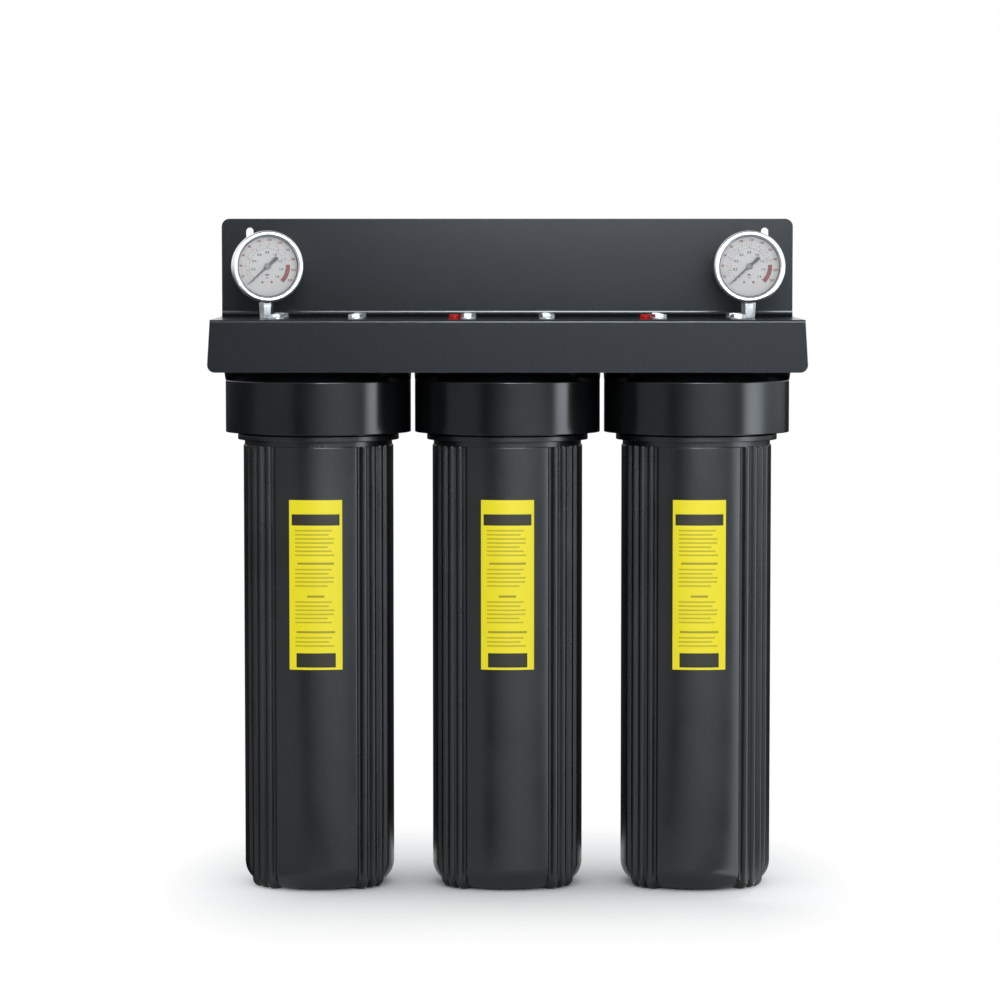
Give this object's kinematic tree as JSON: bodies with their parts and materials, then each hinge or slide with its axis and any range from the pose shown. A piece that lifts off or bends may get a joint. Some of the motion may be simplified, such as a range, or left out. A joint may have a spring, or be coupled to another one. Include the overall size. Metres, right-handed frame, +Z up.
{
  "type": "three-stage water filter",
  "caption": "Wall-mounted water filter: large ribbed canisters in a row screwed into heads under a bent steel bracket, with dial pressure gauges and relief buttons.",
  "frame": {"origin": "on the floor under the middle canister's axis, at the centre of its flat foot", "axes": "+Z up along the canisters, +Y back to the wall, +X from the inlet to the outlet along the row"},
  "size_m": [0.5844, 0.187, 0.6627],
  "materials": {
    "black_polypropylene": "satin moulded",
    "powder_coated_steel": "fine satin powder coat",
    "zinc_plated_steel": "bright zinc",
    "brass": "turned",
    "polished_steel": "polished",
    "nickel_plated_brass": "satin nickel",
    "window_glass": "clear",
    "enamelled_dial": "matt print",
    "dark_pointer": "satin",
    "red_plastic": "gloss",
    "nitrile_rubber": "matt",
    "sediment_fibre": "matt fibre",
    "carbon_block": "wrapped carbon",
    "granular_cartridge": "satin",
    "white_end_cap": "satin",
    "spring_steel": "drawn wire"
  },
  "bodies": {
    "frame": {"mounting_bracket": "powder_coated_steel", "head_1": "black_polypropylene", "head_1_bolt_1": "zinc_plated_steel", "head_1_bolt_2": "zinc_plated_steel", "head_1_bolt_3": "zinc_plated_steel", "head_1_bolt_4": "zinc_plated_steel", "head_2": "black_polypropylene", "head_2_bolt_1": "zinc_plated_steel", "head_2_bolt_2": "zinc_plated_steel", "head_2_bolt_3": "zinc_plated_steel", "head_2_bolt_4": "zinc_plated_steel", "relief_spring_2": "spring_steel", "head_3": "black_polypropylene", "head_3_bolt_1": "zinc_plated_steel", "head_3_bolt_2": "zinc_plated_steel", "head_3_bolt_3": "zinc_plated_steel", "head_3_bolt_4": "zinc_plated_steel", "relief_spring_3": "spring_steel", "head_nipple_1": "brass", "head_nipple_2": "brass", "inlet_port_insert": "brass", "outlet_port_insert": "brass", "inlet_gauge_case": "polished_steel", "inlet_gauge_bezel": "polished_steel", "inlet_gauge_window": "window_glass", "inlet_gauge_dial": "enamelled_dial", "inlet_gauge_movement_frame": "brass", "inlet_gauge_pressure_tube": "brass", "inlet_gauge_stem": "nickel_plated_brass", "outlet_gauge_case": "polished_steel", "outlet_gauge_bezel": "polished_steel", "outlet_gauge_window": "window_glass", "outlet_gauge_dial": "enamelled_dial", "outlet_gauge_movement_frame": "brass", "outlet_gauge_pressure_tube": "brass", "outlet_gauge_stem": "nickel_plated_brass"},
    "sump_cup_1": {"sump_1": "black_polypropylene", "sump_o_ring_1": "nitrile_rubber"},
    "cartridge_1": {"cartridge_1_media": "sediment_fibre"},
    "sump_cup_2": {"sump_2": "black_polypropylene", "sump_o_ring_2": "nitrile_rubber"},
    "cartridge_2": {"cartridge_2_media": "granular_cartridge", "cartridge_2_bottom_cap": "white_end_cap", "cartridge_2_top_cap": "white_end_cap"},
    "relief_2": {"relief_button_2": "red_plastic"},
    "sump_cup_3": {"sump_3": "black_polypropylene", "sump_o_ring_3": "nitrile_rubber"},
    "cartridge_3": {"cartridge_3_media": "carbon_block", "cartridge_3_bottom_cap": "white_end_cap", "cartridge_3_top_cap": "white_end_cap"},
    "relief_3": {"relief_button_3": "red_plastic"},
    "inlet_gauge_pointer_body": {"inlet_gauge_pointer": "dark_pointer"},
    "inlet_gauge_sector_body": {"inlet_gauge_sector_gear": "brass"},
    "outlet_gauge_pointer_body": {"outlet_gauge_pointer": "dark_pointer"},
    "outlet_gauge_sector_body": {"outlet_gauge_sector_gear": "brass"}
  },
  "joints": [
    {"name": "sump_1_drop", "type": "slide", "parent": "frame", "child": "cartridge_1", "axis": [0, 0, -1], "range_m": [0, 0.0315]},
    {"name": "sump_1_turn", "type": "hinge", "parent": "cartridge_1", "child": "sump_cup_1", "pos_m": [-0.188, 0, 0.4665], "axis": [0, 0, -1], "range_deg": [0, 1890]},
    {"name": "sump_2_drop", "type": "slide", "parent": "frame", "child": "cartridge_2", "axis": [0, 0, -1], "range_m": [0, 0.0315]},
    {"name": "sump_2_turn", "type": "hinge", "parent": "cartridge_2", "child": "sump_cup_2", "pos_m": [0, 0, 0.4665], "axis": [0, 0, -1], "range_deg": [0, 1890]},
    {"name": "sump_3_drop", "type": "slide", "parent": "frame", "child": "cartridge_3", "axis": [0, 0, -1], "range_m": [0, 0.0315]},
    {"name": "sump_3_turn", "type": "hinge", "parent": "cartridge_3", "child": "sump_cup_3", "pos_m": [0.188, 0, 0.4665], "axis": [0, 0, -1], "range_deg": [0, 1890]},
    {"name": "relief_button_2_press", "type": "slide", "parent": "frame", "child": "relief_2", "axis": [0, 0, -1], "range_m": [0, 0.003], "stiffness_N_per_m": 1500, "springref_m": -0.002, "deforming": ["relief_spring_2"]},
    {"name": "relief_button_3_press", "type": "slide", "parent": "frame", "child": "relief_3", "axis": [0, 0, -1], "range_m": [0, 0.003], "stiffness_N_per_m": 1500, "springref_m": -0.002, "deforming": ["relief_spring_3"]},
    {"name": "inlet_gauge_pointer_turn", "type": "hinge", "parent": "frame", "child": "inlet_gauge_pointer_body", "pos_m": [-0.2393, 0, 0.61495], "axis": [-0.1994, 0.9799, 0], "range_deg": [0, 267], "stiffness_Nm_per_rad": 0.002, "springref_deg": -5.73},
    {"name": "inlet_gauge_sector_turn", "type": "hinge", "parent": "frame", "child": "inlet_gauge_sector_body", "pos_m": [-0.2526, -0.00271, 0.60137], "axis": [-0.1994, 0.9799, 0], "range_deg": [-53.4, 0]},
    {"name": "outlet_gauge_pointer_turn", "type": "hinge", "parent": "frame", "child": "outlet_gauge_pointer_body", "pos_m": [0.2393, 0, 0.61495], "axis": [-0.0262, 0.9997, 0], "range_deg": [0, 267], "stiffness_Nm_per_rad": 0.002, "springref_deg": -5.73},
    {"name": "outlet_gauge_sector_turn", "type": "hinge", "parent": "frame", "child": "outlet_gauge_sector_body", "pos_m": [0.22573, -0.00036, 0.60137], "axis": [-0.0262, 0.9997, 0], "range_deg": [-53.4, 0]}
  ],
  "couplings": [
    {"joint": "sump_1_drop", "follows": "sump_1_turn", "m_per_rad": 0.00095493},
    {"joint": "sump_2_drop", "follows": "sump_2_turn", "m_per_rad": 0.00095493},
    {"joint": "sump_3_drop", "follows": "sump_3_turn", "m_per_rad": 0.00095493},
    {"joint": "inlet_gauge_sector_turn", "follows": "inlet_gauge_pointer_turn", "ratio": -0.2},
    {"joint": "outlet_gauge_sector_turn", "follows": "outlet_gauge_pointer_turn", "ratio": -0.2}
  ]
}
